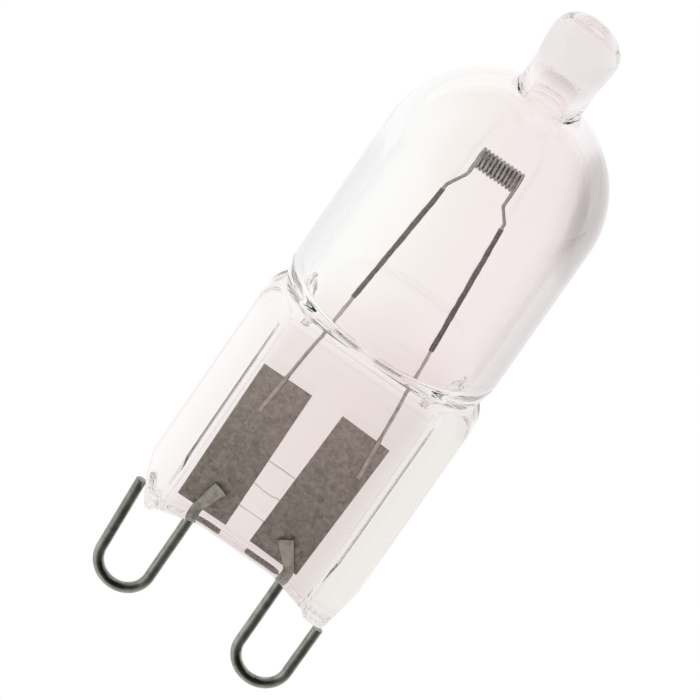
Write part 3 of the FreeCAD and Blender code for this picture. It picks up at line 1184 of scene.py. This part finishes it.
@dataclass(frozen=True)
class QuartzGlass:
    """Fused quartz, blown clear in the bulb and pressed hot in the pinch.

    To the eye it is clear with dark and bright lines at its edges. The pressed end is a
    little smoky and faintly rippled, and painted light and shade make it paler at its
    left and darker towards its right. The blown bulb is almost free of colour; painted
    shade greys it towards its right side and darkens its rims. Three faint lines of
    painted shade lie in the grooves across the pressed ridge, and the tip is painted a
    little greyer. A ray that has been thrown to and fro in the glass for long passes
    straight on, because it would otherwise be lost and leave a black speck.
    """

    # Painted shade: the bulb greys towards its right side and darkens at both rims, over a faint
    # warm tint of its own.
    bulb_tints_and_painted_shade: tuple = (
        (0.0, "#DADADA"),
        (0.05, "#FBFBFB"),
        (0.14, "#FDFEFD"),
        (0.34, "#FDFAF8"),
        (0.5, "#FBF7F5"),
        (0.76, "#FBF5F6"),
        (0.87, "#FAF4F5"),
        (0.95, "#F0E9EA"),
        (0.99, "#C6BFBF"),
    )
    # Smoky tint of the pressed end, with painted light at its left and painted shade darker
    # towards its right.
    pinch_tints_and_painted_shade: tuple = (
        (0.0, "#FEFDFB"),
        (0.1, "#FBF6F5"),
        (0.2, "#EFE5E3"),
        (0.5, "#ECE1DF"),
        (0.8, "#E6DBD8"),
        (0.9, "#EFEBE7"),
        (1.0, "#F6F3EF"),
    )
    clear_tint: str = "#FBF9F9"
    lean: float = 0.35
    lean_bottom: float = 30.0
    # Painted shade: three dark lines on the front face over the ridge's grooves.
    groove_shade_colour: str = "#A79C96"
    groove_shade_heights: tuple = (9.0, 10.55, 12.1)
    groove_shade_x: float = -0.38
    groove_shade_half_width: float = 0.84
    groove_shade_half_height: float = 0.05
    tip_tint: str = "#ECE6E6"
    tip_bottom: float = 38.6
    tip_middle: float = 39.6
    ior: float = 1.458
    roughness: float = 0.0
    pinch_top: float = 19.0
    bulb_bottom: float = 22.0
    half_width: float = 6.5
    longest_path: float = 5.0
    ripple_span: float = 1.4
    ripple_depth: float = 0.008
    ripple_detail: float = 2.0

    def material(self) -> bpy.types.Material:
        """Make the material.

        Returns:
            The material.
        """
        material, tree, surface, output = blank_material("fused_quartz")
        place = add_node(tree, "ShaderNodeTexCoord").outputs["Object"]
        axes = add_node(tree, "ShaderNodeSeparateXYZ", links={"Vector": place}).outputs
        span = (-self.half_width * MM, self.half_width * MM)
        across = map_range(tree, axes["X"], span)
        blown = map_range(tree, axes["Z"], (self.pinch_top * MM, self.bulb_bottom * MM))
        melted = map_range(tree, axes["Z"], (self.tip_bottom * MM, self.tip_middle * MM))
        # The pressed end's tint, with painted light and shade across X.
        pinch = add_node(
            tree, "ShaderNodeValToRGB", {"stops": self.pinch_tints_and_painted_shade}, {"Fac": across}
        ).outputs["Color"]
        raised = add_node(
            tree,
            "ShaderNodeMath",
            {"operation": "SUBTRACT", 1: self.lean_bottom * MM, "use_clamp": True},
            {0: axes["Z"]},
        ).outputs[0]
        # Painted shade across the bulb, slanting with height in the dome.
        leaning = calculate(tree, "MULTIPLY_ADD", raised, self.lean, axes["X"])
        aslant = map_range(tree, leaning, span)
        bulb = add_node(
            tree, "ShaderNodeValToRGB", {"stops": self.bulb_tints_and_painted_shade}, {"Fac": aslant}
        ).outputs["Color"]
        tint = mix_colours(tree, blown, pinch, bulb)
        tint = mix_colours(tree, melted, tint, self.tip_tint)
        # Painted shade in the ridge's three grooves, on the front face only.
        beside = calculate(tree, "COMPARE", axes["X"], self.groove_shade_x * MM, self.groove_shade_half_width * MM)
        front = calculate(tree, "LESS_THAN", axes["Y"], 0.0)
        within = calculate(tree, "MULTIPLY", beside, front)
        for height in self.groove_shade_heights:
            reach = self.groove_shade_half_height * MM
            level = calculate(tree, "COMPARE", axes["Z"], height * MM, reach)
            mark = calculate(tree, "MULTIPLY", level, within)
            tint = mix_colours(tree, mark, tint, self.groove_shade_colour)
        ripple = noise_texture(tree, place, self.ripple_span, self.ripple_detail)
        surface.inputs["Transmission Weight"].default_value = 1.0
        surface.inputs["IOR"].default_value = self.ior
        surface.inputs["Roughness"].default_value = self.roughness
        tree.links.new(tint, surface.inputs["Base Color"])
        add_bump(tree, surface, ripple, self.ripple_depth)
        path = add_node(tree, "ShaderNodeLightPath").outputs
        trapped = calculate(tree, "GREATER_THAN", path["Ray Depth"], self.longest_path)
        passed = calculate(tree, "MAXIMUM", path["Is Shadow Ray"], trapped)
        clear = add_node(tree, "ShaderNodeBsdfTransparent", {"Color": linear(self.clear_tint)})
        mixed = add_node(
            tree,
            "ShaderNodeMixShader",
            links={0: passed, 1: surface.outputs[0], 2: clear.outputs[0]},
        )
        tree.links.new(mixed.outputs[0], output.inputs["Surface"])
        return material


@dataclass(frozen=True)
class DrawnWire:
    """Drawn metal wire, dulled by heat.

    To the eye it is a dark metal with fine lines along the drawing direction and a
    mottled film of oxide.
    """

    name: str
    dark: str
    light: str
    roughness: float
    line_span: float = 0.05
    line_stretch: float = 0.08
    line_depth: float = 0.0015
    line_detail: float = 3.0
    mottle_span: float = 0.5
    mottle_detail: float = 4.0
    mottle_edges: tuple = (0.35, 0.65)
    polish: float = 0.08
    dulling: float = 0.12

    def material(self) -> bpy.types.Material:
        """Make the material.

        Returns:
            The material.
        """
        material, tree, surface, _ = blank_material(self.name)
        place = add_node(tree, "ShaderNodeTexCoord").outputs["Object"]
        stretch = add_node(
            tree, "ShaderNodeMapping", {"Scale": (1, 1, self.line_stretch)}, {"Vector": place}
        ).outputs[0]
        lines = noise_texture(tree, stretch, self.line_span, self.line_detail)
        mottle = noise_texture(tree, place, self.mottle_span, self.mottle_detail)
        film = map_range(tree, mottle, self.mottle_edges)
        colour = mix_colours(tree, film, self.dark, self.light)
        glosses = (self.roughness - self.polish, self.roughness + self.dulling)
        gloss = map_range(tree, mottle, (0.0, 1.0), glosses)
        surface.inputs["Metallic"].default_value = 1.0
        tree.links.new(colour, surface.inputs["Base Color"])
        tree.links.new(gloss, surface.inputs["Roughness"])
        add_bump(tree, surface, lines, self.line_depth)
        return material


@dataclass(frozen=True)
class CrinkledFoil:
    """Molybdenum foil, etched to a feather edge and wetted by the hot quartz.

    To the eye it is a warm dark grey, darker towards its lower end, with fine creases that
    catch the light unevenly.
    """

    dark: str = "#7E7B74"
    light: str = "#B8B2AA"
    roughness: float = 0.48
    crease_span: float = 0.3
    crease_depth: float = 0.02
    crease_twist: float = 0.8
    crease_detail: float = 5.0
    fade_height: float = 30.0
    fade_edges: tuple = (0.6, 1.15)

    def material(self) -> bpy.types.Material:
        """Make the material.

        Returns:
            The material.
        """
        material, tree, surface, _ = blank_material("molybdenum_foil_etched")
        place = add_node(tree, "ShaderNodeTexCoord").outputs["Object"]
        fine = noise_texture(tree, place, self.crease_span, self.crease_detail, self.crease_twist)
        height = add_node(tree, "ShaderNodeSeparateXYZ", links={"Vector": place}).outputs["Z"]
        faded = calculate(tree, "MULTIPLY_ADD", height, 1 / (self.fade_height * MM), fine)
        spread = map_range(tree, faded, self.fade_edges)
        colour = mix_colours(tree, spread, self.dark, self.light)
        surface.inputs["Metallic"].default_value = 1.0
        surface.inputs["Roughness"].default_value = self.roughness
        tree.links.new(colour, surface.inputs["Base Color"])
        add_bump(tree, surface, fine, self.crease_depth)
        return material


@dataclass(frozen=True)
class Studio:
    """White surroundings, pale floor, soft lamps and the photograph's camera.

    Bare metal mirrors a shade at the front, as it does the open side of a light tent.
    What comes through the glass is white all round.
    """

    tilt: float = 23.6
    roll: float = 34.74
    distance: float = 0.5
    pixels_per_mm: float = 18.9
    picture: int = 700
    sensor: float = 36.0
    target_z: float = 21.53
    target_right: float = 1.93
    target_up: float = 0.93
    near_clip: float = 0.01
    floor_z: float = -0.16
    floor_size: float = 6.0
    floor_paper: str = "#F4F4F4"
    floor_roughness: float = 0.9
    floor_glow: float = 0.9
    floor_back: tuple = (-0.6, 0.8, 0.0)
    floor_shade_span: tuple = (-0.3, -0.02)
    front: tuple = (0.25, -0.85, 0.45)
    front_shade: float = 0.03
    mirror_span: tuple = (-0.1, 0.6)
    through_span: tuple = (-0.2, 0.8)
    through_shade: float = 0.85
    diffuse_light: float = 0.55
    mirror_depth: float = 2.5
    bounces: int = 32
    lamps: tuple = (
        ("key", (-0.5, -0.45, 0.6), 0.5, 4.0),
        ("fill", (0.6, -0.3, 0.35), 0.6, 2.0),
        ("rim", (0.1, 0.6, 0.5), 0.6, 3.0),
    )

    def place_camera(self) -> None:
        """Put the camera where the photograph was taken from."""
        tilt, roll = math.radians(self.tilt), math.radians(self.roll)
        back = Vector((0, -math.cos(tilt), math.sin(tilt)))
        level, rise = Vector((1, 0, 0)), back.cross(Vector((1, 0, 0)))
        right = level * math.cos(roll) + rise * math.sin(roll)
        up = rise * math.cos(roll) - level * math.sin(roll)
        offset = right * self.target_right + up * self.target_up
        target = (Vector((0, 0, self.target_z)) - offset) * MM
        data = bpy.data.cameras.new("camera")
        data.sensor_width = self.sensor
        data.lens = self.sensor * self.distance / (self.picture / self.pixels_per_mm * MM)
        data.clip_start = self.near_clip
        camera = bpy.data.objects.new("camera", data)
        turn = Matrix((right, up, back)).transposed().to_4x4()
        camera.matrix_world = Matrix.Translation(target + back * self.distance) @ turn
        bpy.context.scene.collection.objects.link(camera)
        bpy.context.scene.camera = camera

    def light_world(self) -> None:
        """Give the world a white that glass and metal show, darker towards the front."""
        world = bpy.data.worlds.new("light_tent")
        bpy.context.scene.world = world
        world.use_nodes = True
        tree = world.node_tree
        tree.nodes.clear()
        heading = add_node(tree, "ShaderNodeTexCoord").outputs["Generated"]
        facing = add_node(
            tree,
            "ShaderNodeVectorMath",
            {"operation": "DOT_PRODUCT", 1: tuple(Vector(self.front).normalized())},
            {0: heading},
        ).outputs["Value"]
        path = add_node(tree, "ShaderNodeLightPath").outputs
        mirror = map_range(tree, facing, self.mirror_span, (1.0, self.front_shade))
        through = map_range(tree, facing, self.through_span, (1.0, self.through_shade))
        deep = calculate(tree, "GREATER_THAN", path["Ray Depth"], self.mirror_depth)
        mirror = calculate(tree, "MAXIMUM", mirror, deep)
        lit = add_node(
            tree, "ShaderNodeMix", {2: self.diffuse_light}, {0: path["Is Glossy Ray"], 3: mirror}
        ).outputs[0]
        lit = add_node(
            tree, "ShaderNodeMix", links={0: path["Is Transmission Ray"], 2: lit, 3: through}
        ).outputs[0]
        lit = add_node(
            tree, "ShaderNodeMix", {3: 1.0}, {0: path["Is Camera Ray"], 2: lit}
        ).outputs[0]
        shade = add_node(tree, "ShaderNodeBackground", {"Color": (1, 1, 1, 1)}, {"Strength": lit})
        output = add_node(tree, "ShaderNodeOutputWorld")
        tree.links.new(shade.outputs[0], output.inputs["Surface"])

    def lay_floor(self) -> None:
        """Lay a plain white floor well below the lamp, which is shown floating."""
        bm = bmesh.new()
        bmesh.ops.create_grid(bm, x_segments=1, y_segments=1, size=self.floor_size / 2)
        bmesh.ops.translate(bm, vec=(0, 0, self.floor_z), verts=bm.verts)
        floor = new_piece("floor", bm)
        material, tree, surface, output = blank_material("white_paper")
        surface.inputs["Base Color"].default_value = linear(self.floor_paper)
        surface.inputs["Roughness"].default_value = self.floor_roughness
        path = add_node(tree, "ShaderNodeLightPath").outputs
        seen = path["Is Camera Ray"]
        for kind in ("Is Glossy Ray", "Is Transmission Ray"):
            seen = calculate(tree, "MAXIMUM", seen, path[kind])
        share = calculate(tree, "MULTIPLY", seen, self.floor_glow)
        place = add_node(tree, "ShaderNodeTexCoord").outputs["Object"]
        behind = add_node(
            tree,
            "ShaderNodeVectorMath",
            {"operation": "DOT_PRODUCT", 1: self.floor_back},
            {0: place},
        ).outputs["Value"]
        mirrored = map_range(tree, behind, self.floor_shade_span, (self.front_shade, 1.0))
        deep = calculate(tree, "GREATER_THAN", path["Ray Depth"], self.mirror_depth)
        for through in (path["Is Transmission Ray"], deep):
            mirrored = calculate(tree, "MAXIMUM", mirrored, through)
        shown = add_node(
            tree, "ShaderNodeMix", {2: 1.0}, {0: path["Is Glossy Ray"], 3: mirrored}
        ).outputs[0]
        glow = add_node(tree, "ShaderNodeEmission", {"Color": (1, 1, 1, 1)}, {"Strength": shown})
        mixed = add_node(
            tree,
            "ShaderNodeMixShader",
            links={0: share, 1: surface.outputs[0], 2: glow.outputs[0]},
        )
        tree.links.new(mixed.outputs[0], output.inputs["Surface"])
        floor.data.materials.append(material)

    def hang_lamp(self, name: str, place: Vector, size: float, power: float) -> None:
        """Hang one soft lamp that faces the object.

        Args:
            name: Name of the lamp.
            place: Its place in metres.
            size: Width of its square.
            power: Power in watts.
        """
        data = bpy.data.lights.new(name, "AREA")
        data.shape = "SQUARE"
        data.size = size
        data.energy = power
        lamp = bpy.data.objects.new(name, data)
        lamp.location = place
        aim = Vector((0, 0, self.target_z * MM)) - place
        lamp.rotation_euler = aim.to_track_quat("-Z", "Y").to_euler()
        lamp.visible_glossy = False
        lamp.visible_transmission = False
        bpy.context.scene.collection.objects.link(lamp)

    def build(self) -> None:
        """Set up camera, world, floor, lamps and the view's colours."""
        scene = bpy.context.scene
        scene.view_settings.view_transform = "Standard"
        scene.cycles.max_bounces = self.bounces
        scene.cycles.transmission_bounces = self.bounces
        scene.cycles.transparent_max_bounces = self.bounces
        self.place_camera()
        self.light_world()
        self.lay_floor()
        for name, place, size, power in self.lamps:
            self.hang_lamp(name, Vector(place), size, power)


def attach(piece: bpy.types.Object, material: bpy.types.Material, slot: str, *nodes: str) -> None:
    """Dress a piece, tie it to the lamp's one body and let it stand for its CAD nodes.

    Args:
        piece: Finished piece.
        material: Its material.
        slot: Its material slot; not used.
        nodes: Names of the CAD nodes that it replaces.
    """
    piece.data.materials.clear()
    piece.data.materials.append(material)
    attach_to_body(piece, BODY)
    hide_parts(*nodes)
    log.info("%s stands for %s", piece.name, ", ".join(nodes))


def main() -> None:
    """Build every piece of the lamp and its studio."""
    logging.basicConfig(level=logging.INFO, format="%(name)s: %(message)s")
    Studio().build()
    attach(Glass().build(), QuartzGlass().material(), "quartz_glass", "glass_envelope")
    loops = DrawnWire("nickel_plated_wire_dulled", "#86877F", "#A9A99F", 0.2).material()
    leads = DrawnWire("molybdenum_wire_drawn", "#AAA49F", "#C6C0BB", 0.3).material()
    winding = DrawnWire("molybdenum_overwinding", "#746B65", "#8E847E", 0.3).material()
    tungsten = DrawnWire("tungsten_wire_coiled", "#8F8C87", "#B2AFA9", 0.22).material()
    foil = CrinkledFoil().material()
    for side in Side:
        name = side.name.lower()
        attach(WireLoop().build(side), loops, "lead_wire", f"pin_loop_{name}")
        attach(Foil().build(side), foil, "molybdenum_foil", f"foil_{name}")
        attach(InnerLead().build_wire(side), leads, "molybdenum_wire", f"inner_lead_{name}")
        attach(InnerLead().build_sleeve(side), winding, "molybdenum_wire", f"lead_sleeve_{name}")
    attach(Filament().build(), tungsten, "tungsten", "filament_coil")


if __name__ == "__main__":
    main()
